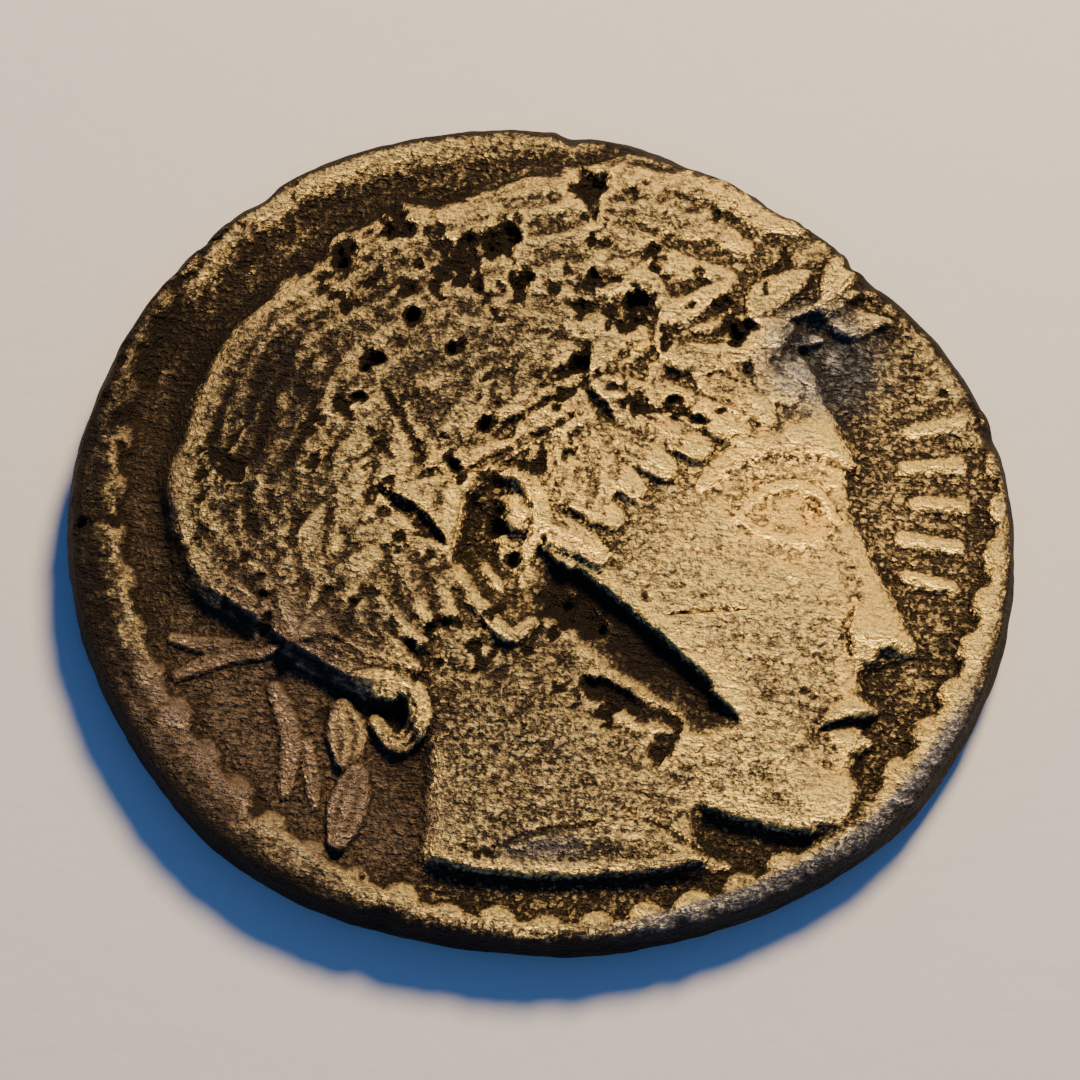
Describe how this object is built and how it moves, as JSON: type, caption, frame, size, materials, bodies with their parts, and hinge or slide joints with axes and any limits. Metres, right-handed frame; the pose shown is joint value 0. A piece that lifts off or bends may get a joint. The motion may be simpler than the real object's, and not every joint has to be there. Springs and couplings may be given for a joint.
{
  "type": "struck coin",
  "caption": "Small hand-struck silver coin: a laureate head in high relief inside a beaded border on an out-of-round, hammered flan.",
  "frame": {"origin": "bottom centre of the bounding box, in the plane of the reverse rim that the coin lies on", "axes": "+Z out of the obverse; +X to the right and +Y to the top of the head as the coin is read, +X being along the flan's longest extent"},
  "size_m": [0.019, 0.0168, 0.0022],
  "materials": {
    "silver": "worn silver with a warm golden-brown to dark brown tone"
  },
  "bodies": {
    "root": {"coin": "silver"}
  },
  "joints": []
}
